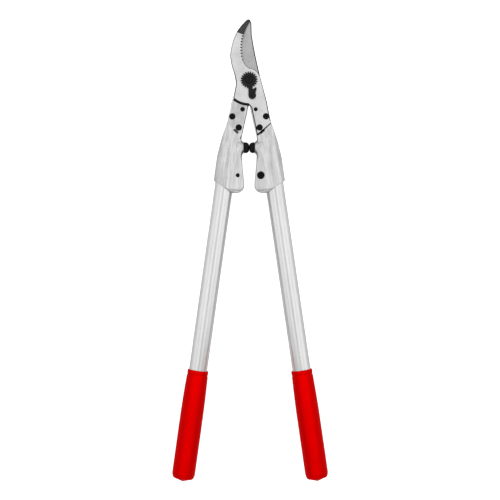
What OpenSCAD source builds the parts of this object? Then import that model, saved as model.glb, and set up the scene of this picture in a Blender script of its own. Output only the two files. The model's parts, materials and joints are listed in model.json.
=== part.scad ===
// Two-hand bypass pruning shear with tubular handles.
// Millimetres. The tool lies flat: +Y points to the blade tips, +X to the hook-side
// handle, +Z away from the surface it lies on. The origin is under the middle of its box.
// Shapes are drawn about the pivot, and place() moves them into that frame.

/* [Overall] */
// Pivot centre to the tip of the jaws
jaw_l = 83.5; // [83:0.1:84]
// Pivot centre to the end of the grips, measured along the tool
handle_l = 548; // [480:1:620]
// Half of the angle between the two closed handles
handle_angle = 8.15; // [7.5:0.05:9]
// How far beside the pivot each tube's centre line passes
handle_offset = 14.05; // [13.8:0.05:14.5]

/* [Jaws] */
// Thickness of each jaw plate and its tang
plate_t = 5; // [4:0.25:6]
// Gap between the two jaw plates
plate_gap = 0.1; // [0.06:0.02:0.2]
// Radius of the rounded shoulder below the pivot on each plate
shoulder_r = 32.8; // [32.2:0.1:33]
// Number of sap notches along the hook's edge
notch_n = 8; // [4:1:8]
// Distance between sap notches
notch_pitch = 3.95; // [3:0.05:4]
// Width of the ground bevel on the cutting blade
bevel_w = 7; // [4:0.5:9]

/* [Pivot] */
// Radius of the bolt's bearing shank
shank_r = 6; // [5:0.25:7]
// Radius of the bolt's threaded end
thread_r = 4.7; // [4:0.1:4.9]
// Radius of the bolt's head
bolt_head_r = 10.5; // [9:0.5:12]
// Number of teeth on the adjusting nut
nut_teeth = 20; // [16:1:24]
// Radius over the nut's teeth
nut_r = 11.5; // [11:0.1:12]
// Depth of the nut's teeth
tooth_h = 2.3; // [1.5:0.1:2.5]
// Thickness of the adjusting nut
nut_t = 4; // [3:0.25:5]
// Thickness of the locking segment
segment_t = 3.2; // [2.5:0.1:3.6]

/* [Handles] */
// Outer diameter of the aluminium tubes
tube_d = 25; // [24:0.5:25.5]
// Wall of the aluminium tubes
tube_wall = 2; // [1.5:0.1:3]
// Outer radius of the socket around each tube, across the tool's thickness
socket_r = 16; // [15.9:0.1:17]
// Outer radius of the socket in the plane of the handles
socket_side_r = 15.2; // [15:0.1:16]
// Radius of each grip's straight stretch, which is also half the tool's thickness
grip_r = 15.8; // [15:0.1:15.8]
// Length of each grip
grip_l = 154; // [130:1:170]
// Length of the grip's straight stretch
grip_straight = 72; // [50:1:80]

/* [Fasteners] */
// Radius of the tang rivets' heads
rivet_head_r = 4.4; // [4:0.1:4.6]
// Radius of the tang rivets' shanks
rivet_r = 3; // [2.5:0.1:3.5]
// Radius of the dowel pins
dowel_r = 2.75; // [2:0.05:2.8]
// Radius of the clamp screws' thread
clamp_r = 2.5; // [2:0.1:2.8]
// Radius of the clamp screws' heads
clamp_head_r = 4.8; // [4.2:0.1:5]

/* [Cushions] */
// Radius of the rubber cushions
cushion_r = 7.4; // [6.5:0.1:7.8]
// Gap between the two cushions when the handles are closed
cushion_gap = 0.1; // [0.1:0.05:0.5]

/* [Hidden] */

$fn = 96;
hull_fn = 32;
fit = 0.05;                          // clearance between pieces that are fixed together
run = 0.05;                          // radial clearance of the turning fit
front = plate_gap / 2 + plate_t;     // height of the hook's face above the middle plane
tube_r = tube_d / 2;
pivot_y = (handle_l - jaw_l) / 2;

// ---------- frames ----------

// Moves a shape from the pivot's frame to the tool's frame
module place() translate([0, pivot_y, grip_r]) children();

// The left half's head, tube and grip are the right half's turned over about the Y axis
module turned_over() rotate([0, 180, 0]) children();

// Lays a shape drawn along +Z on the right tube's centre line, starting d from its top point
module along_tube(d) translate(tube_point(d)) rotate([90, 0, handle_angle]) children();

function tube_point(d) =
    [handle_offset + d * sin(handle_angle), -d * cos(handle_angle), 0];

// ---------- curves ----------

// Points of a circular arc about c from angle a0 to a1
function arc(c, r, a0, a1, n = 16) =
    [for (i = [0:n]) let (a = a0 + (a1 - a0) * i / n) c + r * [cos(a), sin(a)]];

// A point at fraction t of the curve from p to q that stands h off the chord, to its left
function bow_at(p, q, h, t) =
    let (side = [p.y - q.y, q.x - p.x] / norm(q - p))
    p + (q - p) * t + side * 4 * h * t * (1 - t);

// Points of that curve without its last, so that curves chain into an outline
function bow(p, q, h, n = 8) = [for (i = [0:n - 1]) bow_at(p, q, h, i / n)];

function mirrored(points) = [for (p = points) [-p.x, p.y]];

// A solid plate of the given outline between two heights
module plate(points, z0, z1) translate([0, 0, z0]) linear_extrude(z1 - z0) polygon(points);

module drill(p, r, z0 = -20, z1 = 20) translate([p.x, p.y, z0]) cylinder(r = r, h = z1 - z0);

// ---------- jaw outlines ----------

dowel_at = [8.95, -39.8];
rivets_at = [[23, -49.5], [14.2, -64.7]];
segment_screw_at = [4.4, -20.2];

// Corners that the hook and the blade share around the tang
tang_top = [24.5, -30.4];
tang_heel = [30.2, -57.8];
tang_toe = [10.8, -75.4];
tang_root = [3, -37.4];

// The tang from its root round its end to its outer edge
function tang_edge() = concat(
    [tang_root, tang_toe],
    bow(tang_heel, tang_top, 0.4));

edge_top = [-6, 65.3];
edge_low = [-8.8, 31.4];
edge_bow = 2.2;

function hook_outline() = concat(
    bow([2.4, 81.2], [-1, jaw_l], -1, 4),
    bow([-1, jaw_l], [-4.6, 81.2], -0.4, 4),
    bow([-4.6, 81.2], [-16.1, 67], -0.4, 3),
    bow([-16.1, 67], [-25.8, 33.6], -1.8),
    bow([-25.8, 33.6], [-20.7, 10.2], -0.8),
    bow([-20.7, 10.2], [-18.2, -1.4], 0.2, 4),
    bow([-18.2, -1.4], [-18.4, -9.2], 0.35, 4),
    arc([0, 0], shoulder_r, 228.4, 268),
    tang_edge(),
    [tang_top, [14.8, 6.5]],
    arc([-0.3, 0.4], 15.7, 22, 86),
    bow([0.2, 16.6], edge_low, 2.4),
    bow(edge_low, edge_top, edge_bow),
    bow(edge_top, [2.4, 81.2], 0.7));

// The cutting edge is part of a circle, so that its bevel is a true cone
cut_r = 62;
cut_c = [49, 44];

function blade_outline() = concat(
    arc(cut_c, cut_r, 144.5, 203, 24),
    arc([0, 0], 16.6, 140, 192, 8),
    [[-16.4, -8], [-21.2, -25.4]],
    mirrored(bow(tang_top, tang_heel, -0.4)),
    mirrored([tang_heel, tang_toe, tang_root]),
    arc([0, 0], shoulder_r, 272, 311.2),
    [[17.4, -8]],
    bow([14.3, 9.7], [3.9, 63], 0.6),
    [[3.9, 63]],
    bow([3.6, 78.4], [1.2, 81.5], -0.8, 4));

// ---------- jaws ----------

module sap_notches() {
    arc_l = norm(edge_low - edge_top);
    for (i = [0:notch_n - 1]) {
        t = (5.4 + i * notch_pitch) / arc_l;
        p = bow_at(edge_top, edge_low, -edge_bow, t);
        drill(p - [0.9, 0], 1.15, 1.6);
    }
}

// The slope that thins the hook towards its tip
module tip_facet() {
    translate([-16.8, 65.5, front]) rotate([0, 0, -22]) rotate([-9.5, 0, 0])
        translate([-20, 0, 0]) cube([60, 40, 20]);
}

module counter_blade() color("gainsboro") place() difference() {
    plate(hook_outline(), plate_gap / 2, front);
    sap_notches();
    tip_facet();
    intersection() {
        drill([0, 0], shank_r + fit);
        cube([shank_r * 4, (shank_r - 1 + fit) * 2, 40], center = true);
    }
    drill(segment_screw_at, 1.6 + fit, 0.5);
    drill(dowel_at, dowel_r + fit);
    for (p = rivets_at) drill(p, rivet_r + fit);
}

module blade_bevel() {
    low = -front - 1;
    edge_t = 0.4;                    // thickness left at the cutting edge
    slope = (plate_t - edge_t) / bevel_w;
    translate([cut_c.x, cut_c.y, 0]) rotate_extrude()
        polygon([[cut_r - bevel_w - 1 / slope, low], [cut_r + 2, low],
                 [cut_r + 2, -plate_gap / 2 - edge_t + 2 * slope]]);
}

module cutting_blade() color("silver") place() difference() {
    plate(blade_outline(), -front, -plate_gap / 2);
    intersection() {
        blade_bevel();
        translate([-40, 24, -20]) cube([50, 80, 40]);
    }
    drill([0, 0], shank_r + run);
    mirror([1, 0, 0]) {
        drill(dowel_at, dowel_r + fit);
        for (p = rivets_at) drill(p, rivet_r + fit);
    }
}

// ---------- pivot ----------

washer_t = 1;
head_top = -front - washer_t - 3 * fit;
head_t = 4;
nut_z = front + fit;

module pivot_bolt() color("dimgray") place() {
    translate([0, 0, head_top - head_t]) cylinder(r = bolt_head_r, h = head_t);
    translate([0, 0, head_top - 0.01]) cylinder(r = shank_r, h = -head_top);
    translate([0, 0, -0.01]) intersection() {
        cylinder(r = shank_r, h = front - 0.5);
        cube([shank_r * 4, (shank_r - 1) * 2, 40], center = true);
    }
    cylinder(r = thread_r, h = nut_z + nut_t + 0.6);
    translate([0, 0, nut_z + nut_t + 0.6]) cylinder(r1 = thread_r, r2 = thread_r - 1, h = 0.7);
}

module pivot_washer() color("darkgray") place() difference() {
    drill([0, 0], bolt_head_r + 0.7, head_top + fit, head_top + fit + washer_t);
    drill([0, 0], shank_r + fit);
}

// Outline of the toothed nut, grown by c
function nut_outline(c = 0) = [for (k = [0:nut_teeth - 1], side = [-1, 1], tip = [0, 1])
    let (pitch = 360 / nut_teeth,
         up = (side < 0) ? tip : 1 - tip,
         a = 6 + pitch * k + side * pitch * (up == 1 ? 0.12 : 0.36),
         r = c + (up == 1 ? nut_r : nut_r - tooth_h))
    r * [cos(a), sin(a)]];

module adjusting_nut() color("dimgray") place() difference() {
    union() {
        plate(nut_outline(), nut_z, nut_z + nut_t - 0.6);
        drill([0, 0], nut_r - tooth_h - 0.4, nut_z, nut_z + nut_t);
    }
    drill([0, 0], thread_r + fit);
}

// ---------- locking segment ----------

bar_r = 5.2;

segment_outline = concat(
    arc([4.3, -20.9], bar_r, 360, 180, 24),
    [[-0.9, -15.5], [-0.9, -10.9]],
    arc([0, 0], nut_r - tooth_h + 0.35, 265, 290, 6),
    arc([0, 0], 13.4, 292.5, 314.4, 8),
    [[10.3, -12.8], [8.8, -17]]);

module locking_segment() color("dimgray") place() difference() {
    translate([0, 0, nut_z]) linear_extrude(segment_t) difference() {
        polygon(segment_outline);
        polygon(nut_outline(0.2));
    }
    drill(segment_screw_at, 1.6 + fit);
}

module segment_screw() color("dimgray") place() {
    drill(segment_screw_at, 1.6, 0.8, nut_z + segment_t + 0.1);
    drill(segment_screw_at, 3, nut_z + segment_t + fit, nut_z + segment_t + 1.6);
}

// ---------- head castings ----------

gap_r = shoulder_r + 1.3;            // hollow edge of the cheek round the other plate's shoulder
clamp_at = [15.6, -130.2];
ear_h = 10.4;                        // half thickness of the ear that the clamp screw draws together
ear_round = 1.6;                       // radius of the ear's rounded rim
lobe_at = [17.3, -143];
ear_top_at = [20, -107];
boss_y = -91.8;
boss_x = 7.5;
socket_top = 106;                    // where the full round socket starts along the tube's line
bore_top = 101;
mouth_at = [[47.5, -137.8], [25, -152.3]];

function cheek_outline() = concat(
    arc([0, 0], gap_r, 311.8, 272.2),
    [[2.3, -41.4], [10.3, -78], [32, -66], [30.4, -58], [26.4, -41.6]]);

module socket_round(d0, d1) along_tube(d0) scale([socket_side_r / socket_r, 1, 1])
    cylinder(r = socket_r, h = d1 - d0, $fn = 48);

// A disc as thick as it is round, with flat faces and a rounded rim
module ear_disc(at, r) translate(at) rotate_extrude($fn = hull_fn) polygon(concat(
    [[0, -r]],
    arc([r - ear_round, ear_round - r], ear_round, -90, 0, 4),
    arc([r - ear_round, r - ear_round], ear_round, 0, 90, 4),
    [[0, r]]));

module casting_body() {
    // socket and the ear beside it
    hull() {
        difference() {
            socket_round(socket_top, 172);
            below_mouth();
            translate([0, lobe_at.y - ear_h - 60, -30]) cube(60);
        }
        ear_disc(lobe_at, ear_h);
        ear_disc(ear_top_at, ear_h - 0.5);
    }
    // neck from the tang's end to the socket
    hull() {
        socket_round(socket_top, socket_top + 1);
        ear_disc(ear_top_at, ear_h - 0.5);
        translate([28.4, -83.5, 0]) sphere(r = 10.5, $fn = hull_fn);
        plate([tang_toe + [0.2, -1.2], [12, -79], [32.3, -63.5], tang_heel + [0.2, -0.6]],
              -front - 0.2, front + 0.2);
    }
    // boss that carries the cushion
    translate([boss_x, boss_y, 0]) rotate([0, 90, 0]) cylinder(r1 = 7.6, r2 = 11, h = 4.5);
    translate([boss_x + 4.4, boss_y, 0]) rotate([0, 90, 0]) cylinder(r = 11, h = 5);
}

// Everything below the slanting mouth of the socket
module below_mouth() {
    a = atan2(mouth_at[1].y - mouth_at[0].y, mouth_at[1].x - mouth_at[0].x);
    translate([mouth_at[0].x, mouth_at[0].y, 0]) rotate([0, 0, a])
        translate([-30, 0, -30]) cube([90, 60, 60]);
}

// Blind slot in each face of the casting beside the tang's end
module relief_slot() for (side = [0, 1]) mirror([0, 0, side]) {
    slot_w = 1.6;
    slot_l = 5.6;
    a = atan2(tang_heel.y - tang_toe.y, tang_heel.x - tang_toe.x);
    translate([18.4, -70.2, 1.5]) rotate([0, 0, a]) {
        translate([-slot_l / 2, -slot_w / 2, 0]) cube([slot_l, slot_w, 20]);
        for (x = [-slot_l / 2, slot_l / 2]) translate([x, 0, 0]) cylinder(r = slot_w / 2, h = 20);
    }
}

module right_casting() difference() {
    union() {
        intersection() {
            casting_body();
            cube([400, 400, grip_r * 2], center = true);
        }
        plate(cheek_outline(), -front, -plate_gap / 2);
    }
    below_mouth();
    // the side that the tang lies on
    plate([[0, -30], tang_toe + [0, -0.1], tang_heel + [0, -0.1], [60, -30]], -plate_gap / 2, 20);
    plate([[0, -30], tang_toe + [0, -0.1], tang_heel + [0, -0.1], [60, -30]], -20, -front);
    along_tube(bore_top) cylinder(r = tube_r + fit, h = 80);
    // slit that lets the screw close the socket on the tube
    translate([0, -170, -0.8]) cube([27, 66, 1.6]);
    relief_slot();
    drill(clamp_at, clamp_r + fit);
    drill(clamp_at, clamp_head_r + 0.2, ear_h - 3.5);
    drill(dowel_at, dowel_r + fit);
    for (p = rivets_at) drill(p, rivet_r + fit);
    translate([0, boss_y, 0]) rotate([0, 90, 0]) cylinder(r = 3 + fit, h = 17);
}

module right_head_casting() color("lightgray") place() right_casting();
module left_head_casting() color("lightgray") place() turned_over() right_casting();

// ---------- tang fasteners ----------

module tang_rivets() for (p = rivets_at) {
    drill(p, rivet_r, -front - 0.01, front + 0.01);
    for (side = [0, 1]) mirror([0, 0, side]) {
        translate([p.x, p.y, front + fit]) cylinder(r1 = rivet_head_r, r2 = rivet_head_r - 0.5, h = 0.7);
        drill(p, rivet_r, front - 0.1, front + fit + 0.1);
    }
}

module dowel() drill(dowel_at, dowel_r, -front - 0.2, front + 0.3);

module clamp_screw() {
    seat = ear_h - 3.5 + fit;
    drill(clamp_at, clamp_r, -ear_h - 0.2, seat + 0.1);
    drill(clamp_at, clamp_head_r, seat, seat + 4);
}

module right_tang_rivets() color("dimgray") place() tang_rivets();
module left_tang_rivets() color("dimgray") place() turned_over() tang_rivets();
module right_dowel_pin() color("dimgray") place() dowel();
module left_dowel_pin() color("dimgray") place() turned_over() dowel();
module right_clamp_screw() color("dimgray") place() clamp_screw();
module left_clamp_screw() color("dimgray") place() turned_over() clamp_screw();

// ---------- cushions ----------

cushion_dome = 4.8;                  // rounding of the face that meets the other cushion

module cushion() translate([0, boss_y, 0]) rotate([0, 90, 0]) rotate_extrude() polygon(concat(
    [[0, cushion_gap / 2]],
    arc([cushion_r - cushion_dome, cushion_gap / 2 + cushion_dome], cushion_dome, -90, 0, 8),
    [[cushion_r, boss_x - fit], [3, boss_x - fit], [3, boss_x + 9], [0, boss_x + 9]]));

module right_cushion() color("black") place() cushion();
module left_cushion() color("black") place() turned_over() cushion();

// ---------- tubes and grips ----------

grip_end = handle_l / cos(handle_angle) - 0.3;
grip_start = grip_end - grip_l;
end_wall = 9;
dome_h = 13;

module tube() along_tube(bore_top + 1) difference() {
    tube_l = grip_end - end_wall - fit - bore_top - 1;
    cylinder(r = tube_r, h = tube_l);
    translate([0, 0, -1]) cylinder(r = tube_r - tube_wall, h = tube_l + 2);
}

// The grip's half section: a lip, a slow swell, the straight stretch and a shallow dome
module grip() along_tube(grip_start) difference() {
    swell_l = grip_l - dome_h - grip_straight;
    rotate_extrude() polygon(concat(
        [[0, 0]],
        arc([grip_r - 3.2, 2.2], 2, -80, 20, 6),
        [[grip_r - 1.5, 5.5], [grip_r - 1.7, 6.5]],
        [for (i = [0:6]) let (t = i / 6) [grip_r - 1.1 + 1.1 * sin(90 * t), 9 + (swell_l - 9) * t]],
        bow([grip_r, grip_l - dome_h], [grip_r - 3.8, grip_l - 3.6], -0.9, 6),
        bow([grip_r - 3.8, grip_l - 3.6], [0, grip_l], -1, 6),
        [[0, grip_l]]));
    translate([0, 0, -1]) cylinder(r = tube_r + fit, h = grip_l - end_wall + 1);
}

module right_tube() color("whitesmoke") place() tube();
module left_tube() color("whitesmoke") place() turned_over() tube();
module right_grip() color("red") place() grip();
module left_grip() color("red") place() turned_over() grip();

cutting_blade();
counter_blade();
pivot_bolt();
pivot_washer();
adjusting_nut();
locking_segment();
segment_screw();
left_head_casting();
right_head_casting();
left_tang_rivets();
right_tang_rivets();
left_dowel_pin();
right_dowel_pin();
left_clamp_screw();
right_clamp_screw();
left_cushion();
right_cushion();
left_tube();
right_tube();
left_grip();
right_grip();
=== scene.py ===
"""Looks of the two-hand bypass pruning shear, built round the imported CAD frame. Metres."""

import json
import math

import bmesh
import bpy
import numpy as np
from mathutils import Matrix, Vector, noise


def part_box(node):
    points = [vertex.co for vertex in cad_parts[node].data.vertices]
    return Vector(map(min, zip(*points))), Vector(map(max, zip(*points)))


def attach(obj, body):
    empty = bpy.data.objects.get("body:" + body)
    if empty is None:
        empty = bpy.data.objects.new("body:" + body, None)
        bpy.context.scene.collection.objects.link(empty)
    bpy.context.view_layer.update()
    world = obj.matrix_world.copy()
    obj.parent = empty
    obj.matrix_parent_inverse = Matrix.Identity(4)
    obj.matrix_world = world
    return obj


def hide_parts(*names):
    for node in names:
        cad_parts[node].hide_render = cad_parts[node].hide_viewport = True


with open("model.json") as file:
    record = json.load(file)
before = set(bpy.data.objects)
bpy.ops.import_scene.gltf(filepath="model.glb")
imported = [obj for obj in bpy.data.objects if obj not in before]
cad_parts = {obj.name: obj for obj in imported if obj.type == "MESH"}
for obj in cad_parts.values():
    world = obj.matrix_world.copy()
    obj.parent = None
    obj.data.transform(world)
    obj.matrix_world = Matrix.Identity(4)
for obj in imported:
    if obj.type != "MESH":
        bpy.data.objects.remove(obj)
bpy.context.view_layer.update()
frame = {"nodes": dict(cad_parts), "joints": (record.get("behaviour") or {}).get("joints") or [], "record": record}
nodes = frame["nodes"]

MM = 0.001
UP = Vector((0, 0, 1))
RIGHT = Vector((1, 0, 0))
PIVOT = Vector(frame["joints"][0]["pos_m"])
MOUNTS = {mount["name"]: mount for mount in frame["record"]["mounts"]}
BODY = {"left": "blade_side", "right": "hook_side"}
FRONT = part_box("counter_blade")[1].z            # face of the hook, which is the front jaw plate
TINY = 0.01 * MM                                # places nearer than this are the same


# ---------- meshes ----------

def add_piece(name, bm, body, material, stands_for=(), sharp=35):
    """Makes a shown object of a bmesh whose points are in the row frame."""
    bmesh.ops.recalc_face_normals(bm, faces=bm.faces)
    if bm.calc_volume(signed=True) < 0:
        bmesh.ops.reverse_faces(bm, faces=bm.faces)
    mesh = bpy.data.meshes.new(name)
    bm.to_mesh(mesh)
    bm.free()
    obj = bpy.data.objects.new(name, mesh)
    bpy.context.scene.collection.objects.link(obj)
    mesh.materials.append(material)
    mesh.polygons.foreach_set("use_smooth", [True] * len(mesh.polygons))
    mesh.set_sharp_from_angle(angle=math.radians(sharp))
    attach(obj, body)
    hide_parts(*stands_for)
    return obj


def cad_bmesh(node):
    """A CAD node's mesh with its doubled corners joined and its flat faces whole."""
    bm = bmesh.new()
    bm.from_mesh(nodes[node].data)
    bmesh.ops.remove_doubles(bm, verts=bm.verts, dist=0.001 * MM)
    bmesh.ops.dissolve_limit(bm, angle_limit=math.radians(0.5), verts=bm.verts, edges=bm.edges)
    return bm


def sharp_edges(bm, angle=30):
    limit = math.radians(angle)
    return [e for e in bm.edges if e.is_manifold and e.calc_face_angle() > limit]


def round_edges(bm, edges, width, segments):
    bmesh.ops.bevel(bm, geom=edges, offset=width, offset_type="OFFSET", segments=segments,
                    profile=0.5, affect="EDGES", clamp_overlap=False, loop_slide=False)


def ring_of(bm, centre, side, other, radius, segments):
    """A ring of points about a centre, in the plane of two directions. A radius of 0 gives one
    point that stands for the whole ring."""
    if radius == 0:
        return [bm.verts.new(centre)] * segments
    ring = []
    for i in range(segments):
        angle = 2 * math.pi * i / segments
        r = radius(angle) if callable(radius) else radius
        ring.append(bm.verts.new(centre + (side * math.cos(angle) + other * math.sin(angle)) * r))
    return ring


def turned(rows, origin, axis, segments=96, closed=False):
    """A turned solid: rows of (distance along axis, radius), where a radius may be a function
    of the angle, and 0 closes an end. closed joins the last row to the first, as in a tube."""
    axis = axis.normalized()
    side = UP.cross(axis) if abs(axis.z) < 0.9 else RIGHT.copy()
    side.normalize()
    other = axis.cross(side)
    bm = bmesh.new()
    rings = [ring_of(bm, origin + axis * along, side, other, radius, segments) for along, radius in rows]
    pairs = list(zip(rings, rings[1:] + rings[:1])) if closed else list(zip(rings, rings[1:]))
    for low, high in pairs:
        for i in range(segments):
            j = (i + 1) % segments
            corners = []
            for v in (low[i], low[j], high[j], high[i]):
                if v not in corners:
                    corners.append(v)
            if len(corners) > 2:
                bm.faces.new(corners)
    return bm


def fixed(obj):
    """Makes an object's modifiers part of its mesh."""
    bpy.context.view_layer.update()
    depsgraph = bpy.context.evaluated_depsgraph_get()
    mesh = bpy.data.meshes.new_from_object(obj.evaluated_get(depsgraph), depsgraph=depsgraph)
    obj.modifiers.clear()
    obj.data = mesh
    return mesh


def joined(parts):
    """One bmesh of several."""
    whole = bmesh.new()
    for part in parts:
        mesh = bpy.data.meshes.new("part")
        part.to_mesh(mesh)
        part.free()
        whole.from_mesh(mesh)
        bpy.data.meshes.remove(mesh)
    return whole


def islands(node):
    """Boxes of a node's separate solids, as (lowest corner, highest corner)."""
    bm = cad_bmesh(node)
    found, seen = [], set()
    for start in bm.verts:
        if start in seen:
            continue
        stack, group = [start], []
        seen.add(start)
        while stack:
            v = stack.pop()
            group.append(v.co.copy())
            for edge in v.link_edges:
                w = edge.other_vert(v)
                if w not in seen:
                    seen.add(w)
                    stack.append(w)
        found.append((Vector(map(min, zip(*group))), Vector(map(max, zip(*group)))))
    bm.free()
    return found


def span(node, origin, axis):
    """How far a CAD node reaches along an axis from origin, as (nearest, farthest)."""
    reach = [(v.co - origin).dot(axis) for v in nodes[node].data.vertices]
    return min(reach), max(reach)


def hexagon(across):
    """Radius of a hexagon at each angle, from its width across flats."""
    return lambda a: across / 2 / math.cos((a + math.pi / 6) % (math.pi / 3) - math.pi / 6)


def arc_rows(along, radius, size, start, end, steps=6):
    """Rows of a rounded corner: a quarter circle of that size about (along, radius)."""
    turns = [math.radians(start + (end - start) * i / steps) for i in range(steps + 1)]
    return [(along + size * math.sin(t), radius + size * math.cos(t)) for t in turns]


# ---------- materials ----------

class Finish:
    """Builds one procedural material from the object's own coordinates, in metres."""

    def __init__(self, name, metallic=0.0):
        self.material = bpy.data.materials.new(name)
        self.material.use_nodes = True
        self.tree = self.material.node_tree
        self.shader = self.tree.nodes["Principled BSDF"]
        self.shader.inputs["Metallic"].default_value = metallic
        self.coords = self.add("ShaderNodeTexCoord").outputs["Object"]
        self.height = None

    def add(self, kind, **settings):
        node = self.tree.nodes.new(kind)
        for key, value in settings.items():
            setattr(node, key, value)
        return node

    def put(self, socket, value):
        if hasattr(value, "is_linked"):
            self.tree.links.new(value, socket)
        else:
            socket.default_value = value

    def stretched(self, turn, scale):
        """Coordinates turned about Z by an angle and then scaled along their own X, Y and Z."""
        spin = self.add("ShaderNodeVectorRotate", rotation_type="Z_AXIS")
        self.put(spin.inputs["Vector"], self.coords)
        spin.inputs["Angle"].default_value = turn
        size = self.add("ShaderNodeVectorMath", operation="MULTIPLY")
        self.put(size.inputs[0], spin.outputs["Vector"])
        size.inputs[1].default_value = scale
        return size.outputs["Vector"]

    def noise(self, scale, detail=3.0, rough=0.5, coords=None):
        node = self.add("ShaderNodeTexNoise")
        self.put(node.inputs["Vector"], coords or self.coords)
        node.inputs["Scale"].default_value = scale
        node.inputs["Detail"].default_value = detail
        node.inputs["Roughness"].default_value = rough
        return node.outputs["Fac"]

    def fit(self, value, low, high, to_low, to_high):
        node = self.add("ShaderNodeMapRange")
        self.put(node.inputs["Value"], value)
        for name, number in (("From Min", low), ("From Max", high), ("To Min", to_low), ("To Max", to_high)):
            node.inputs[name].default_value = number
        return node.outputs["Result"]

    def maths(self, operation, a, b=0.0):
        node = self.add("ShaderNodeMath", operation=operation)
        self.put(node.inputs[0], a)
        self.put(node.inputs[1], b)
        return node.outputs["Value"]

    def blend(self, factor, a, b):
        node = self.add("ShaderNodeMix", data_type="RGBA")
        self.put(node.inputs["Factor"], factor)
        self.put(node.inputs["A"], a)
        self.put(node.inputs["B"], b)
        return node.outputs["Result"]

    def part(self, kind, axis):
        """One component of the surface's place, or of its normal as modelled."""
        source = self.add("ShaderNodeNewGeometry").outputs["Normal"] if kind == "normal" else self.coords
        parts = self.add("ShaderNodeSeparateXYZ")
        self.put(parts.inputs[0], source)
        return parts.outputs[axis]

    def marked(self, name):
        """A mark from 0 to 1 that the mesh code left on the surface."""
        return self.add("ShaderNodeAttribute", attribute_name=name).outputs["Fac"]

    def edges(self):
        """Rises on outer edges and falls in hollows, from the mesh's own pointiness."""
        return self.add("ShaderNodeNewGeometry").outputs["Pointiness"]

    def facing_away(self):
        """From 0 on a surface square to the eye to 1 on one seen edge on."""
        return self.add("ShaderNodeLayerWeight").outputs["Facing"]

    def colour(self, value):
        self.put(self.shader.inputs["Base Color"], value)

    def roughness(self, value):
        self.put(self.shader.inputs["Roughness"], value)

    def bump(self, height, depth, strength=1.0):
        """Adds relief of a depth in metres on top of the relief that is there."""
        node = self.add("ShaderNodeBump")
        self.put(node.inputs["Height"], height)
        node.inputs["Distance"].default_value = depth
        node.inputs["Strength"].default_value = strength
        if self.height:
            self.put(node.inputs["Normal"], self.height)
        self.height = node.outputs["Normal"]
        self.put(self.shader.inputs["Normal"], self.height)


def grey(value):
    return (value, value, value, 1.0)


def plate_steel(name, level, turn, smooth, inner_side):
    """Steel from a surface grinder, with fine marks one way. Chamfers, walls, notch floors and the tip's slope get
    a painted shade and painted dark reflection: a mark in the mesh says how bright each face is painted. The
    tang's inner side, which faces up (1) or down (-1), gets the same painted shade, standing in for the shade in
    the gap between the plates."""
    f = Finish(name, metallic=1.0)
    marks = f.noise(1.0, 4, 0.6, f.stretched(turn, (5200, 160, 900)))
    haze = f.noise(55, 3, 0.55)
    spots = f.noise(900, 2, 0.5)
    face = f.blend(f.fit(haze, 0.3, 0.7, 0, 1), grey(level * 0.96), grey(level * 1.03))
    face = f.blend(f.fit(marks, 0.35, 0.75, 0, 0.3), face, grey(level * 0.9))
    # painted dark steel: the painted shade and painted dark reflection on chamfers, walls and notch floors
    painted_dark_steel = f.blend(f.fit(spots, 0.35, 0.65, 0, 1), grey(0.012), grey(0.035))
    # the tang's inner face is painted dark too: painted shade in the gap between the plates
    inner = f.maths("GREATER_THAN", f.maths("MULTIPLY", f.part("normal", "Z"), inner_side), 0.5)
    tang = f.maths("LESS_THAN", f.part("place", "Y"), PIVOT.y - 24 * MM)
    mark = f.marked("ground")
    ground = f.maths("MULTIPLY", mark, f.maths("SUBTRACT", 1.0, f.maths("MULTIPLY", inner, tang)))
    f.colour(f.blend(ground, painted_dark_steel, face))
    rough = f.fit(marks, 0.3, 0.7, smooth - 0.05, smooth + 0.06)
    rough = f.maths("ADD", rough, f.fit(haze, 0.3, 0.7, -0.03, 0.03))
    f.roughness(f.maths("ADD", rough, f.fit(ground, 0, 1, 0.15, 0)))
    f.bump(marks, 0.004 * MM, 0.5)
    f.bump(spots, 0.002 * MM, 0.3)
    return f.material


def black_steel(name, level, rough, gloss=0.15):
    """Blackened steel, a little lighter where its edges have rubbed."""
    f = Finish(name, metallic=0.0)
    grain = f.noise(2600, 3, 0.6)
    haze = f.noise(260, 3, 0.5)
    coat = f.blend(f.fit(haze, 0.3, 0.7, 0, 1), grey(level * 0.75), grey(level * 1.25))
    worn = f.maths("MULTIPLY", f.fit(f.edges(), 0.53, 0.62, 0, 1), f.fit(haze, 0.35, 0.65, 0.1, 0.6))
    f.colour(f.blend(worn, coat, grey(0.03)))
    f.roughness(f.fit(grain, 0.3, 0.7, rough - 0.06, rough + 0.10))
    f.shader.inputs["Specular IOR Level"].default_value = gloss
    f.bump(grain, 0.012 * MM, 0.6)
    return f.material


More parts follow.
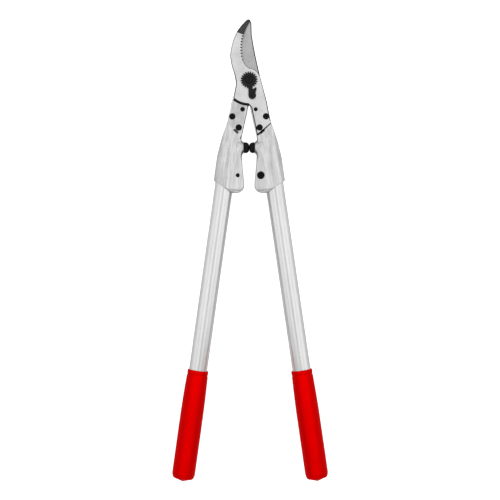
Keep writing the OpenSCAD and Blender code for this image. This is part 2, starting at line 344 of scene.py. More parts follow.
def cast_aluminium(name, turn):
    """Tumbled casting: soft long undulations from linishing, fine dents and a dull skin, with painted shade in its
    hollows and nearly black painted shade in the relief slot and on the cheek's steep edges, where the mesh marks
    them.
    """
    f = Finish(name, metallic=1.0)
    swell = f.noise(1.0, 1.5, 0.4, f.stretched(turn, (150, 16, 60)))
    streak = f.noise(1.0, 3, 0.55, f.stretched(turn, (360, 30, 220)))
    skin = f.noise(1500, 4, 0.62)
    patches = f.noise(120, 3, 0.55)
    shade = f.blend(f.fit(patches, 0.3, 0.7, 0, 1), grey(0.56), grey(0.66))
    shade = f.blend(f.fit(streak, 0.40, 0.64, 0, 0.8), shade, grey(0.44))
    # painted shade: darker where the pointiness falls, in hollows and creases
    painted_hollow_shade = f.fit(f.edges(), 0.40, 0.49, 1, 0)
    shade = f.blend(f.maths("MULTIPLY", painted_hollow_shade, 0.7), shade, grey(0.27))
    # painted shade, nearly black, on the marked relief slot and cheek edges
    f.colour(f.blend(f.marked("painted_recess_shade"), shade, grey(0.03)))
    f.roughness(f.maths("ADD", f.fit(skin, 0.3, 0.7, 0.30, 0.42), f.fit(patches, 0.3, 0.7, -0.04, 0.05)))
    f.bump(swell, 0.9 * MM, 0.35)
    f.bump(streak, 0.12 * MM, 0.35)
    f.bump(skin, 0.02 * MM, 0.7)
    return f.material


def tube_aluminium(name, turn):
    """Satin drawn tube with fine lines along it."""
    f = Finish(name, metallic=1.0)
    lines = f.noise(1.0, 4, 0.6, f.stretched(turn, (4200, 30, 4200)))
    haze = f.noise(1.0, 3, 0.5, f.stretched(turn, (90, 20, 90)))
    shade = f.blend(f.fit(haze, 0.3, 0.7, 0, 1), grey(0.62), grey(0.67))
    f.colour(f.blend(f.fit(lines, 0.35, 0.75, 0, 0.3), shade, grey(0.55)))
    f.roughness(f.fit(lines, 0.3, 0.7, 0.25, 0.34))
    f.bump(lines, 0.005 * MM, 0.6)
    return f.material


def red_vinyl(name):
    """Dipped vinyl: even red with a broad satin gloss, a faint orange-peel skin and light scuffs; painted shade
    darkens the red where the surface is seen edge on.
    """
    f = Finish(name, metallic=0.35)
    peel = f.noise(620, 2, 0.5)
    grain = f.noise(4200, 2, 0.5)
    haze = f.noise(38, 3, 0.5)
    scuff = f.noise(1.0, 4, 0.6, f.stretched(0.3, (900, 120, 900)))
    skin = f.blend(f.fit(haze, 0.3, 0.7, 0, 1), (0.79, 0.0, 0.0, 1), (0.87, 0.0, 0.0, 1))
    # painted shade: the red darkens towards where the surface is seen edge on
    f.colour(f.blend(f.fit(f.facing_away(), 0.0, 0.18, 0, 1), skin, (0.58, 0.0, 0.0, 1)))
    f.roughness(f.maths("ADD", f.fit(grain, 0.3, 0.7, 0.40, 0.48), f.fit(scuff, 0.58, 0.75, 0.0, 0.12)))
    f.shader.inputs["Specular IOR Level"].default_value = 0.03
    f.shader.inputs["Specular Tint"].default_value = (1.0, 0.05, 0.04, 1)
    f.bump(peel, 0.03 * MM, 0.6)
    f.bump(grain, 0.006 * MM, 0.5)
    return f.material


def black_rubber(name):
    """Moulded black rubber with a fine matt grain."""
    f = Finish(name)
    grain = f.noise(3000, 3, 0.6)
    bloom = f.noise(180, 3, 0.5)
    f.colour(f.blend(f.fit(bloom, 0.35, 0.7, 0, 1), grey(0.003), grey(0.007)))
    f.roughness(f.fit(grain, 0.3, 0.7, 0.55, 0.72))
    f.shader.inputs["Specular IOR Level"].default_value = 0.12
    f.bump(grain, 0.02 * MM, 0.6)
    return f.material


# How far each handle is turned from straight back, for grain that follows it
LEAN = {side: math.atan2(-MOUNTS[side + "_grip_shaft"]["axis"][0], -MOUNTS[side + "_grip_shaft"]["axis"][1])
        for side in BODY}
HOOK_STEEL = plate_steel("hook_ground_steel", 0.74, 0.12, 0.30, -1)
BLADE_STEEL = plate_steel("blade_ground_steel", 0.52, -0.15, 0.28, 1)
BLACK_STEEL = black_steel("blackened_steel", 0.005, 0.42)
NUT_STEEL = black_steel("blackened_nut_steel", 0.008, 0.38)
SCREW_STEEL = black_steel("dark_fastener_steel", 0.003, 0.45, gloss=0.09)
CASTING = {side: cast_aluminium(side + "_tumbled_aluminium", LEAN[side]) for side in BODY}
TUBE = {side: tube_aluminium(side + "_satin_aluminium", LEAN[side]) for side in BODY}
VINYL = red_vinyl("red_dipped_vinyl")
RUBBER = black_rubber("black_moulded_rubber")


# ---------- jaws ----------

SHOULDER_R = 32.8                               # mm, of the round shoulder below the pivot
FASTENERS = [((low + high) / 2, (high.x - low.x) / 2)
             for node in ("pivot_bolt", "segment_screw", "left_dowel_pin", "right_dowel_pin",
                          "left_tang_rivets", "right_tang_rivets")
             for low, high in islands(node)]


def near_fastener(p):
    """Whether a point is on the rim of a hole for the bolt, a screw, a rivet or a dowel."""
    return any(math.dist(centre[:2], p[:2]) < radius + 0.3 * MM for centre, radius in FASTENERS)


def hook_edge(x, y):
    """Width of the hook's chamfer, in mm, and how bright it is painted, a painted shade or painted dark
    reflection, at a point in mm about the pivot.
    """
    if 31 < y < 66 and x > -13:
        return 0.0, 0                        # working edge with its notches
    if y > 66:
        return 0.4, 0.3
    if y > 9 and x < -8:
        return 1.2, 0.3                      # thin outer rim beside the mouth
    if y > 5 and x > -13:
        return 0.65, 0.05                    # throat, and the hump over the pivot
    if abs(math.hypot(x, y) - SHOULDER_R) < 0.6 and x < 0:
        return 1.4, 0                        # shoulder
    if x + 1.1 * y < -33 and x > 11:
        return 0.25, 0                       # end of the tang, against the casting
    if x < 11 and y < -34:
        return 1.3, 0                        # inner side of the tang
    return 1.4, 0.10


def blade_edge(x, y):
    """The same width and painted shade for the cutting blade, whose cutting edge has no chamfer."""
    if y > 12 and x < 3.0 - (y - 60) * 0.06 and y < 78:
        return 0.0, 0
    if y > 8:
        return 1.5, 0.02
    return 0.9, 0


def chamfer(bm, edges, planes, width_at):
    """Cuts an even chamfer and then draws each of its points back to the width wanted there."""
    widest = 1.5 * MM
    bmesh.ops.bevel(bm, geom=edges, offset=widest, offset_type="OFFSET", segments=1, affect="EDGES",
                    clamp_overlap=False, loop_slide=False)
    moves = {}
    for edge in bm.edges:
        for top, wall in (tuple(edge.verts), tuple(edge.verts)[::-1]):
            for plane in planes:
                on_plane = abs(top.co.z - plane) < TINY
                below = abs(abs(wall.co.z - plane) - widest) < TINY
                if on_plane and below and math.dist(top.co[:2], wall.co[:2]) > 0.1 * widest:
                    corner = Vector((wall.co.x, wall.co.y, plane))
                    share = width_at((corner - PIVOT) / MM) * MM / widest
                    moves[top] = corner.lerp(top.co, share)
                    moves[wall] = corner.lerp(wall.co, share)
    for v, place in moves.items():
        v.co = place


def jaw(node, body, material, edge_rule):
    """A jaw plate from its CAD shape, with chamfers, and with a mark of how bright each face is painted: full on
    the grinder's faces, a painted shade or painted dark reflection on chamfers, walls, notch floors and the tip's
    slope.
    """
    bm = cad_bmesh(node)
    low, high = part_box(node)
    rims = []
    for edge in sharp_edges(bm, 60):
        a, b = (v.co for v in edge.verts)
        flat = abs(a.z - b.z) < TINY and min(abs(a.z - low.z), abs(a.z - high.z)) < TINY
        middle = ((a + b) / 2 - PIVOT) / MM
        if flat and not near_fastener((a + b) / 2) and edge_rule(middle.x, middle.y)[0] > 0:
            rims.append(edge)
    chamfer(bm, rims, (low.z, high.z), lambda at: max(0.05, edge_rule(at.x, at.y)[0]))
    obj = add_piece("shaped_" + node, bm, body, material, [node], sharp=32)
    # mark of painted brightness: full on the flat faces and the cutting bevel, painted shade or painted dark
    # reflection elsewhere
    mark = obj.data.attributes.new("ground", "FLOAT", "FACE")
    for face in obj.data.polygons:
        middle = (face.center - PIVOT) / MM
        bright = edge_rule(middle.x, middle.y)[1]
        outermost = min(abs(face.center.z - low.z), abs(face.center.z - high.z)) < TINY
        if abs(face.normal.z) > 0.995 and outermost:
            bright = 1
            face.use_smooth = False
        elif node == "cutting_blade" and -0.95 < face.normal.z < -0.75:
            bright = 1                       # the bevel that makes the cutting edge
        elif 0.9 < face.normal.z < 0.995 and middle.y > 66:
            # painted dark reflection on the tip's slope
            bright = 0.05                    # the slope at the tip
        elif abs(face.normal.z) < 0.3 or abs(face.normal.z) > 0.9:
            # painted shade on the walls and the notches' floors
            bright = 0                       # walls and the notches' floors
        mark.data[face.index].value = bright


jaw("counter_blade", "hook_side", HOOK_STEEL, hook_edge)
jaw("cutting_blade", "blade_side", BLADE_STEEL, blade_edge)


# ---------- pivot ----------

def centre_of(node):
    """Middle of a CAD node's box."""
    low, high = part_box(node)
    return (low + high) / 2


def make_pivot():
    """The bolt: a domed head at the back, a bearing shank, and a threaded end in the nut."""
    low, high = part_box("pivot_bolt")
    head_r = (high.x - low.x) / 2
    head_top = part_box("pivot_washer")[0].z - 0.05 * MM
    shank_r = 6.0 * MM
    thread_r = 4.7 * MM
    axis_at = Vector((PIVOT.x, PIVOT.y, 0))
    rows = [(low.z, 0), (low.z, 2.2 * MM), (low.z + 0.5 * MM, 2.6 * MM)]
    rows += [(low.z + 0.35 * MM, 6.5 * MM), (low.z + 0.7 * MM, 8.6 * MM)]
    rows += [(low.z + 1.5 * MM, head_r - 0.5 * MM), (low.z + 2.3 * MM, head_r)]
    rows += [(head_top - 0.4 * MM, head_r), (head_top, head_r - 0.4 * MM)]
    rows += [(head_top, shank_r), (FRONT - 0.6 * MM, shank_r)]
    rows += [(FRONT - 0.5 * MM, thread_r), (high.z - 0.7 * MM, thread_r)]
    rows += [(high.z - 0.15 * MM, thread_r - 0.75 * MM), (high.z, thread_r - 1.2 * MM)]
    rows += [(high.z, 1.5 * MM), (high.z - 0.9 * MM, 1.1 * MM), (high.z - 1.3 * MM, 0)]
    add_piece("bolt_with_domed_head", turned(rows, axis_at, UP, 96), "hook_side", BLACK_STEEL,
              ["pivot_bolt"])


def tooth_radius(tip, root, count, phase):
    """Radius of a ring of teeth with sloping flanks at each angle."""
    def radius(angle):
        place = ((angle - phase) * count / (2 * math.pi) + 0.5) % 1 - 0.5
        slope = min(1, max(0, (0.40 - abs(place)) / 0.24))
        return root + (tip - root) * slope
    return radius


def make_nut():
    """The adjusting nut: a ring of pointed teeth round a low raised middle."""
    low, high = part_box("adjusting_nut")
    count, steps = 20, 15
    tip, depth = 11.5 * MM, 2.3 * MM
    phase = math.radians(6)
    bore = 4.75 * MM
    outer = tooth_radius(tip, tip - depth, count, phase)
    crest = tooth_radius(tip - 0.45 * MM, tip - depth - 0.1 * MM, count, phase)
    shoulder = tip - depth - 0.5 * MM
    rows = [(low.z, bore + 0.4 * MM), (low.z, crest), (low.z + 0.35 * MM, outer)]
    rows += [(high.z - 1.0 * MM, outer), (high.z - 0.62 * MM, crest)]
    rows += [(high.z - 0.55 * MM, shoulder), (high.z - 0.15 * MM, shoulder - 0.25 * MM)]
    rows += [(high.z, shoulder - 0.6 * MM), (high.z, bore + 0.8 * MM)]
    rows += [(high.z - 0.6 * MM, bore), (low.z + 0.4 * MM, bore)]
    bm = turned(rows, Vector((PIVOT.x, PIVOT.y, 0)), UP, count * steps, closed=True)
    add_piece("toothed_nut", bm, "hook_side", NUT_STEEL, ["adjusting_nut"], sharp=28)


def make_segment():
    """The locking segment, whose outer rim is eased and whose teeth are left sharp, and its screw."""
    bm = cad_bmesh("locking_segment")
    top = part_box("locking_segment")[1].z
    rim = [e for e in sharp_edges(bm) if min(v.co.z for v in e.verts) > top - TINY
           and min(math.dist(v.co[:2], PIVOT[:2]) for v in e.verts) > 15 * MM]
    round_edges(bm, rim, 0.3 * MM, 2)
    add_piece("segment_with_eased_edges", bm, "hook_side", NUT_STEEL, ["locking_segment"])
    low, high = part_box("segment_screw")
    centre = centre_of("segment_screw")
    head = top + 0.05 * MM
    rows = [(low.z, 0), (low.z, 1.3 * MM), (low.z + 0.3 * MM, 1.6 * MM), (head, 1.6 * MM)]
    rows += [(head, 2.8 * MM), (head + 0.2 * MM, 3 * MM), (head + 0.9 * MM, 3 * MM), (high.z, 2.3 * MM)]
    rows += [(high.z, hexagon(2.6 * MM)), (high.z - 1.1 * MM, hexagon(2.5 * MM)), (high.z - 1.4 * MM, 0)]
    add_piece("segment_screw_with_socket", turned(rows, Vector((centre.x, centre.y, 0)), UP, 96),
              "hook_side", BLACK_STEEL, ["segment_screw"])


make_pivot()
make_nut()
make_segment()
nodes["pivot_washer"].data.materials.clear()
nodes["pivot_washer"].data.materials.append(BLACK_STEEL)


# ---------- tang fasteners ----------

def make_rivets(side):
    """Both tang rivets of a side, with low rounded heads that are dimpled in the middle."""
    parts = []
    for low, high in islands(side + "_tang_rivets"):
        centre = (low + high) / 2
        head_r = (high.x - low.x) / 2
        head_t = 0.7 * MM
        half = []
        for face, out in ((low.z, 1), (high.z, -1)):
            half.append([(face + out * 0.14 * MM, 0), (face + out * 0.12 * MM, 1.0 * MM), (face, 1.4 * MM),
                         (face + out * 0.03 * MM, head_r * 0.62), (face + out * 0.14 * MM, head_r * 0.86),
                         (face + out * 0.36 * MM, head_r * 0.97), (face + out * (head_t - 0.12 * MM), head_r),
                         (face + out * head_t, head_r - 0.1 * MM), (face + out * head_t, 3 * MM)])
        rows = half[0] + half[1][::-1]
        parts.append(turned(rows, Vector((centre.x, centre.y, 0)), UP, 72))
    add_piece(side + "_rivets", joined(parts), BODY[side], SCREW_STEEL,
              [side + "_tang_rivets"])


def make_dowel(side):
    """A dowel pin with eased ends and a punched centre in its front end."""
    low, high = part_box(side + "_dowel_pin")
    centre = (low + high) / 2
    r = (high.x - low.x) / 2
    rows = [(low.z, 0), (low.z, r - 0.35 * MM), (low.z + 0.35 * MM, r), (high.z - 0.15 * MM, r),
            (high.z, r - 0.15 * MM), (high.z, 0.7 * MM), (high.z - 0.5 * MM, 0)]
    add_piece(side + "_dowel", turned(rows, Vector((centre.x, centre.y, 0)), UP, 64), BODY[side],
              SCREW_STEEL, [side + "_dowel_pin"])


def thread_radius(along, crest, pitch):
    """Radius of a thread at each angle, at a distance along it."""
    return lambda a: crest - 0.42 * MM * abs(((along / pitch - a / (2 * math.pi)) % 1) * 2 - 1)


def make_clamp_screw(side):
    """A socket-head screw. The right one shows its head at the front, the left one its thread's end."""
    low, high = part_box(side + "_clamp_screw")
    centre = (low + high) / 2
    out = UP if side == "right" else -UP
    length = high.z - low.z
    start = Vector((centre.x, centre.y, low.z if side == "right" else high.z))
    head_r, thread_r, head_t, pitch = 4.8 * MM, 2.5 * MM, 4 * MM, 0.8 * MM
    rows = [(0, 0), (0, thread_r - 0.9 * MM), (0.4 * MM, thread_r - 0.45 * MM)]
    steps = 60
    thread_end = length - head_t - 0.5 * MM
    for i in range(1, steps):
        along = 0.4 * MM + (thread_end - 0.4 * MM) * i / steps
        rows.append((along, thread_radius(along, thread_r, pitch)))
    base = length - head_t
    rows += [(base, thread_r), (base, head_r - 0.3 * MM), (base + 0.3 * MM, head_r)]
    rows += [(length - 0.7 * MM, head_r)]
    rows += arc_rows(length - 0.7 * MM, head_r - 0.7 * MM, 0.7 * MM, 10, 90, 5)
    rows += [(length, hexagon(4.4 * MM)), (length - 0.2 * MM, hexagon(4 * MM))]
    rows += [(length - 2.2 * MM, hexagon(4 * MM)), (length - 2.9 * MM, 0)]
    add_piece(side + "_socket_screw", turned(rows, start, out, 96), BODY[side], SCREW_STEEL,
              [side + "_clamp_screw"])


# ---------- cushions ----------

def make_cushion(side):
    """A domed rubber cushion on a stem that is held in the casting."""
    node = side + "_cushion"
    out = RIGHT if side == "right" else -RIGHT
    centre = centre_of(node)
    origin = Vector((0, centre.y, centre.z))
    near = 0.005 * MM                    # the two rubbers just touch
    far = span(node, origin, out)[1]
    low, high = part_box(node)
    r = (high.y - low.y) / 2
    seat = 7.45 * MM
    dome = 4.8 * MM
    rows = [(near, 0), (near, r - dome - 0.6 * MM)]
    rows += arc_rows(near + dome, r - dome, dome, -90, 0, 12)
    rows += [(seat - 1.2 * MM, r), (seat - 0.5 * MM, r - 0.15 * MM), (seat, r - 0.6 * MM)]
    rows += [(seat, 3 * MM), (far, 3 * MM), (far, 0)]
    add_piece(side + "_rubber_cushion", turned(rows, origin, out, 96), BODY[side], RUBBER,
              [node])


# ---------- handles ----------

def handle_line(side):
    """A point on the handle's centre line and the way it runs, away from the jaws."""
    mount = MOUNTS[side + "_grip_shaft"]
    return Vector(mount["pos_m"]), Vector(mount["axis"]).normalized()


def make_tube(side):
    """A plain drawn tube with eased ends."""
    origin, axis = handle_line(side)
    near, far = span(side + "_tube", origin, axis)
    outer, inner = 12.5 * MM, 10.5 * MM
    ease = 0.3 * MM
    rows = [(near, inner + ease), (near, outer - ease), (near + ease, outer)]
    rows += [(near + (far - near) * i / 12, outer) for i in range(1, 12)]
    rows += [(far - ease, outer), (far, outer - ease), (far, inner + ease)]
    rows += [(far - ease, inner), (near + ease, inner)]
    add_piece(side + "_handle_tube", turned(rows, origin, axis, 128, closed=True), BODY[side], TUBE[side],
              [side + "_tube"])


GRIP_BORE = 12.52 * MM


def lip_rows(near, r):
    """Rows of a grip's soft lip, from inside its mouth to the shallow neck beyond it."""
    rows = [(near + 8 * MM, GRIP_BORE), (near + 0.9 * MM, GRIP_BORE)]
    rows += [(near + 0.3 * MM, GRIP_BORE + 0.3 * MM), (near, GRIP_BORE + 0.9 * MM)]
    rows += [(near + 0.15 * MM, GRIP_BORE + 1.4 * MM), (near + 0.6 * MM, r - 1.45 * MM)]
    rows += [(near + 1.4 * MM, r - 1.22 * MM), (near + 3.2 * MM, r - 1.18 * MM)]
    rows += [(near + 4.6 * MM, r - 1.28 * MM), (near + 5.6 * MM, r - 1.55 * MM)]
    rows += [(near + 6.3 * MM, r - 1.72 * MM), (near + 7.0 * MM, r - 1.6 * MM)]
    return rows + [(near + 8.2 * MM, r - 1.25 * MM)]


def swell_rows(start, end, r, steps=60):
    """Rows of a grip's slow swell to its full radius."""
    turns = [(i / steps, math.sin(math.pi / 2 * (i / steps))) for i in range(steps + 1)]
    return [(start + (end - start) * t, r - 1.1 * MM * (1 - rise)) for t, rise in turns]


def end_rows(start, end, r):
    """Rows of a grip's end: a rounded shoulder and then a shallow cone."""
    shoulder_r, shoulder_at = r - 3.4 * MM, end - 4.4 * MM
    rows = []
    for i in range(1, 13):
        turn = math.pi / 2 * (i / 12)
        rows.append((start + (shoulder_at - start) * math.sin(turn) ** 1.15,
                     r - (r - shoulder_r) * (1 - math.cos(turn)) ** 1.1))
    cone = [i / 10 for i in range(1, 10)]
    rows += [(shoulder_at + (end - shoulder_at) * t, shoulder_r * (1 - t)) for t in cone]
    return rows + [(end, 0)]


def dip(bm, origin, axis, near):
    """Makes a grip's skin a little uneven, as dipping leaves it, and most of all near its lip."""
    for v in bm.verts:
        along = (v.co - origin).dot(axis)
        out = v.co - origin - axis * along
        if out.length > GRIP_BORE + 0.5 * MM and along > near + 0.5 * MM:
            wave = noise.noise(v.co * 45 + Vector((7, 3, 1))) + 0.5 * noise.noise(v.co * 120)
            lip = math.exp(-((along - near) / (12 * MM)) ** 2)
            v.co -= out.normalized() * (0.05 * MM + 0.16 * MM * lip) * max(0, 0.75 + wave)


def make_grip(side):
    """A dipped grip: a soft lip at its mouth, a slow swell, and a shallow pointed end."""
    origin, axis = handle_line(side)
    near, far = span(side + "_grip", origin, axis)
    far -= 0.15 * MM
    r = (MOUNTS[side + "_grip_shaft"]["dims"]["r_mm"] - 0.08) * MM
    straight = -MOUNTS[side + "_grip_shaft"]["dims"]["length_mm"] * MM / 2
    dome = -straight
    wall = 9 * MM
    rows = [(far - wall, 0), (far - wall, GRIP_BORE)] + lip_rows(near, r)
    rows += swell_rows(near + 9.5 * MM, straight, r)
    rows += [(straight + (dome - straight) * i / 20, r) for i in range(1, 21)]
    rows += end_rows(dome, far, r)
    bm = turned(rows, origin, axis, 128)
    dip(bm, origin, axis, near)
    add_piece(side + "_dipped_grip", bm, BODY[side], VINYL, [side + "_grip"], sharp=50)


# ---------- head castings ----------

def smoothed(mesh, points, weight, rounds):
    """Relaxes points: each moves to the mean of its neighbours by its weight, over and over."""
    pairs = np.empty(len(mesh.edges) * 2, dtype=np.int64)
    mesh.edges.foreach_get("vertices", pairs)
    a, b = pairs.reshape(-1, 2).T
    count = len(points)
    links = (np.bincount(a, minlength=count) + np.bincount(b, minlength=count))[:, None]
    for _ in range(rounds):
        total = [np.bincount(a, points[b, i], count) + np.bincount(b, points[a, i], count) for i in range(3)]
        points = points + (np.stack(total, axis=1) / links - points) * weight[:, None]
    return points


def step_up(value, low, high):
    """0 below low, 1 above high and a smooth rise between them."""
    t = np.clip((value - low) / (high - low), 0, 1)
    return t * t * (3 - 2 * t)


def casting_places(side, points):
    """Points of a casting in mm about the pivot, turned so that both castings read as the right one:
    across, along, height with the tang's side up, and distance from the tube's centre line."""
    turn = 1 if side == "right" else -1
    across = points[:, 0] / MM * turn
    along = (points[:, 1] - PIVOT.y) / MM
    height = (points[:, 2] - PIVOT.z) / MM * turn
    origin, axis = handle_line(side)
    offset = points - np.array(origin)
    radial = offset - np.outer(offset @ np.array(axis), np.array(axis))
    return across, along, height, np.linalg.norm(radial, axis=1) / MM


def hole_clearance(side, points):
    """Distance in mm from the wall of the nearest rivet, screw or dowel hole."""
    nearest = np.full(len(points), 99.0)
    for node, spare in (("_tang_rivets", 0.2), ("_clamp_screw", 0.4), ("_dowel_pin", 0.2)):
        for low, high in islands(side + node):
            centre = (low + high) / 2
            gap = np.hypot(points[:, 0] - centre.x, points[:, 1] - centre.y) - (high.x - low.x) / 2
            nearest = np.minimum(nearest, gap / MM - spare)
    return nearest


HOLLOW_R = 36.5                                 # mm, past the rim of the hollow for the other shoulder
SLOT_AT = (18.4, -70.2)                         # middle of the relief slot
BOSS_ALONG = -91.8                              # the boss that carries the cushion
TANG_TOE, TANG_HEEL = (10.8, -75.4), (30.2, -57.8)     # line where the tang's end meets the casting


def cheek_edges(side, bm):
    """Edges of the cheek's flat face along the mouth between the ears and round the other jaw's
    shoulder."""
    found = []
    for edge in sharp_edges(bm, 60):
        ends = np.array([v.co for v in edge.verts])
        across, along, height, _ = casting_places(side, ends)
        flat = height.max() < -5 and abs(height[0] - height[1]) < 0.1
        rim = not near_fastener(sum((v.co for v in edge.verts), Vector()) / 2)
        by_mouth = ((np.hypot(across, along) < HOLLOW_R) | (across < 12.5)).all()
        if flat and rim and along.min() > -80 and by_mouth:
            found.append(edge)
    return found


def past_tang(across, along):
    """Distance in mm below the line of the tang's end, towards the handle."""
    run = (TANG_HEEL[0] - TANG_TOE[0], TANG_HEEL[1] - TANG_TOE[1])
    return (run[1] * (across - TANG_TOE[0]) - run[0] * (along - TANG_TOE[1])) / math.hypot(*run)


def from_slot(across, along):
    """Distance in mm from the middle of the relief slot."""
    return np.hypot(across - SLOT_AT[0], along - SLOT_AT[1])


def softness(side, points):
    """How far each point of a casting is relaxed: the ramps between the ears and the socket most,
    the boss less, and the holes, the relief slot and the tang's seat not at all."""
    across, along, height, radial = casting_places(side, points)
    clear = step_up(hole_clearance(side, points), 0.6, 3.0)
    off_socket = step_up(radial, 13.4, 14.2)
    outside = off_socket * step_up(np.abs(across), 8.5, 12)
    slot = step_up(from_slot(across, along), 4.2, 6.5)
    beyond = past_tang(across, along)
    seat = np.where(height > 0, step_up(beyond, 1.0, 4.0), step_up(beyond, -9.0, 0.0))
    ramp = step_up(-along, 63, 72) * step_up(along, -114, -106) * step_up(np.abs(height), 4, 7)
    inside_boss = step_up(14.5 - np.hypot(along - BOSS_ALONG, height), 0, 2)
    boss = 0.4 * inside_boss * step_up(across, 9, 11) * step_up(22 - across, 0, 3)
    return np.maximum(ramp * outside * slot * seat, boss * off_socket) * clear


def painted_shade_in_recesses(side, points, normals):
    """Where a casting gets painted shade, nearly black: in the relief slot, and on the steep edge of the cheek
    beside the other jaw and along the mouth."""
    across, along, height, _ = casting_places(side, points)
    steep = step_up(-np.abs(normals[:, 2]), -0.93, -0.8)
    on_line = step_up(-np.abs(past_tang(across, along)), -1.3, -0.7)
    in_slot = step_up(-from_slot(across, along), -4.4, -3.6) * on_line
    by_mouth = (np.hypot(across, along) < HOLLOW_R) | ((across < 12.5) & (along > -80))
    cheek = by_mouth & (height < -3)
    return np.maximum(in_slot, steep * cheek).astype(np.float32)


def vectors(items, name):
    """A mesh's points or normals as an array with a row each."""
    values = np.empty(len(items) * 3)
    items.foreach_get(name, values)
    return values.reshape(-1, 3)


def make_casting(side):
    """The casting from its CAD shape, remeshed and relaxed so that every corner is soft, and most of
    all the ramps between the ears and the tube's socket."""
    bm = cad_bmesh(side + "_head_casting")
    round_edges(bm, cheek_edges(side, bm), 1.1 * MM, 1)
    obj = add_piece(side + "_tumbled_casting", bm, BODY[side], CASTING[side],
                    [side + "_head_casting"])
    remesh = obj.modifiers.new("skin", "REMESH")
    remesh.mode = "VOXEL"
    remesh.voxel_size = 0.5 * MM
    remesh.use_smooth_shade = True
    mesh = fixed(obj)
    start = vectors(mesh.vertices, "co")
    points = smoothed(mesh, start, np.full(len(start), 0.5), 5)
    points = smoothed(mesh, points, 0.9 * softness(side, start), 110)
    points = smoothed(mesh, points, np.full(len(start), 0.3), 1)
    mesh.vertices.foreach_set("co", points.ravel())
    mesh.update()
    # a mark of painted shade for the relief slot and the cheek's steep edges
    mark = mesh.attributes.new("painted_recess_shade", "FLOAT", "POINT")
    mark.data.foreach_set("value", painted_shade_in_recesses(side, start, vectors(mesh.vertex_normals, "vector")))


for side in BODY:
    make_rivets(side)
    make_dowel(side)
    make_clamp_screw(side)
    make_cushion(side)
    make_tube(side)
    make_grip(side)
    make_casting(side)


# ---------- stage, light and camera ----------

def camera_only(tree, seen, unseen):
    """A shader that shows one colour to the camera and another in reflections."""
    path = tree.nodes.new("ShaderNodeLightPath")
    mix = tree.nodes.new("ShaderNodeMixShader")
    tree.links.new(path.outputs["Is Camera Ray"], mix.inputs["Fac"])
    tree.links.new(unseen, mix.inputs[1])
    tree.links.new(seen, mix.inputs[2])
    return mix.outputs["Shader"]


def make_floor():
    """A pale plain floor that the camera sees as white."""
    mesh = bpy.data.meshes.new("floor")
    bm = bmesh.new()
    bmesh.ops.create_grid(bm, x_segments=2, y_segments=2, size=4)
    bm.to_mesh(mesh)
    bm.free()
    floor = bpy.data.objects.new("floor", mesh)
    bpy.context.scene.collection.objects.link(floor)
    material = bpy.data.materials.new("pale_floor")
    material.use_nodes = True
    tree = material.node_tree
    tree.nodes.clear()
    out = tree.nodes.new("ShaderNodeOutputMaterial")
    plain = tree.nodes.new("ShaderNodeBsdfDiffuse")
    plain.inputs["Color"].default_value = grey(0.85)
    glow = tree.nodes.new("ShaderNodeEmission")
    glow.inputs["Strength"].default_value = 0.85
    both = tree.nodes.new("ShaderNodeAddShader")
    tree.links.new(plain.outputs[0], both.inputs[0])
    tree.links.new(glow.outputs[0], both.inputs[1])
    tree.links.new(camera_only(tree, both.outputs[0], plain.outputs[0]), out.inputs["Surface"])
    mesh.materials.append(material)


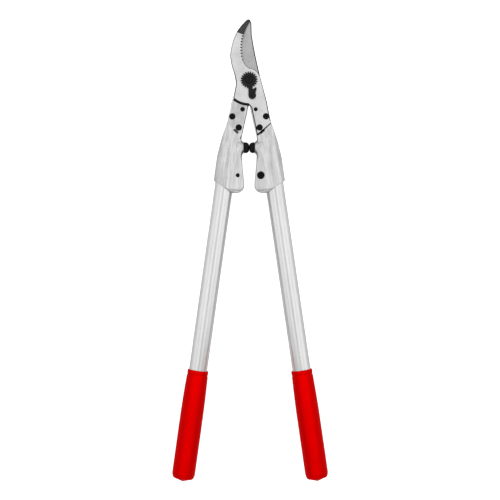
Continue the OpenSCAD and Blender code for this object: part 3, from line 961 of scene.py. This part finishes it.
def make_world():
    """A white room to the camera, and a dimmer one, brighter overhead, in reflections."""
    world = bpy.data.worlds.new("studio")
    bpy.context.scene.world = world
    world.use_nodes = True
    tree = world.node_tree
    tree.nodes.clear()
    out = tree.nodes.new("ShaderNodeOutputWorld")
    direction = tree.nodes.new("ShaderNodeTexCoord")
    parts = tree.nodes.new("ShaderNodeSeparateXYZ")
    tree.links.new(direction.outputs["Generated"], parts.inputs[0])
    ramp = tree.nodes.new("ShaderNodeValToRGB")
    tree.links.new(parts.outputs["Z"], ramp.inputs["Fac"])
    stops = ramp.color_ramp.elements
    stops[0].position, stops[0].color = 0.0, grey(0.40)
    stops[1].position, stops[1].color = 1.0, grey(0.48)
    room = tree.nodes.new("ShaderNodeBackground")
    tree.links.new(ramp.outputs["Color"], room.inputs["Color"])
    white = tree.nodes.new("ShaderNodeBackground")
    white.inputs["Color"].default_value = grey(1.0)
    tree.links.new(camera_only(tree, white.outputs[0], room.outputs[0]), out.inputs["Surface"])


def add_softbox(name, x, z, tilt, width, radiance):
    """A long soft panel beside or over the tool, turned about its length: 0 faces straight down
    and 90 faces left. Its brightness is given as the radiance that a mirror would see."""
    start, end = -0.38, 1.50
    light = bpy.data.lights.new(name, "AREA")
    light.shape = "RECTANGLE"
    light.size, light.size_y = width, end - start
    light.energy = radiance * math.pi * width * (end - start)
    obj = bpy.data.objects.new(name, light)
    bpy.context.scene.collection.objects.link(obj)
    obj.location = (x, (start + end) / 2, z)
    obj.rotation_euler = (0, math.radians(tilt), 0)
    obj.visible_camera = False


def add_foot_light():
    """A soft panel beyond the grips' ends, facing the tool's walls that look that way."""
    light = bpy.data.lights.new("foot", "AREA")
    light.shape = "RECTANGLE"
    light.size, light.size_y = 1.6, 0.7
    light.energy = 0.9 * math.pi * light.size * light.size_y
    obj = bpy.data.objects.new("foot", light)
    bpy.context.scene.collection.objects.link(obj)
    obj.location = (0, -1.1, 0.38)
    obj.rotation_euler = (math.radians(80), 0, 0)
    obj.visible_camera = False


def add_camera():
    """Looks straight down on the tool with a long lens."""
    camera = bpy.data.cameras.new("camera")
    camera.sensor_width = 36
    camera.lens = 89.57
    obj = bpy.data.objects.new("camera", camera)
    bpy.context.scene.collection.objects.link(obj)
    obj.location = (0.68 * MM, 0.65 * MM, PIVOT.z + 1.70)
    obj.rotation_euler = (0, 0, math.radians(-0.15))
    bpy.context.scene.camera = obj


make_floor()
make_world()
add_softbox("left_overhead", x=-0.43, z=0.95, tilt=-10, width=0.66, radiance=0.90)
add_softbox("right_overhead", x=0.43, z=0.95, tilt=10, width=0.66, radiance=0.95)
add_softbox("left_wall", x=-0.85, z=0.42, tilt=-80, width=0.75, radiance=0.80)
add_softbox("right_wall", x=0.85, z=0.42, tilt=80, width=0.75, radiance=0.90)
add_foot_light()
add_camera()
bpy.context.scene.view_settings.view_transform = "Standard"
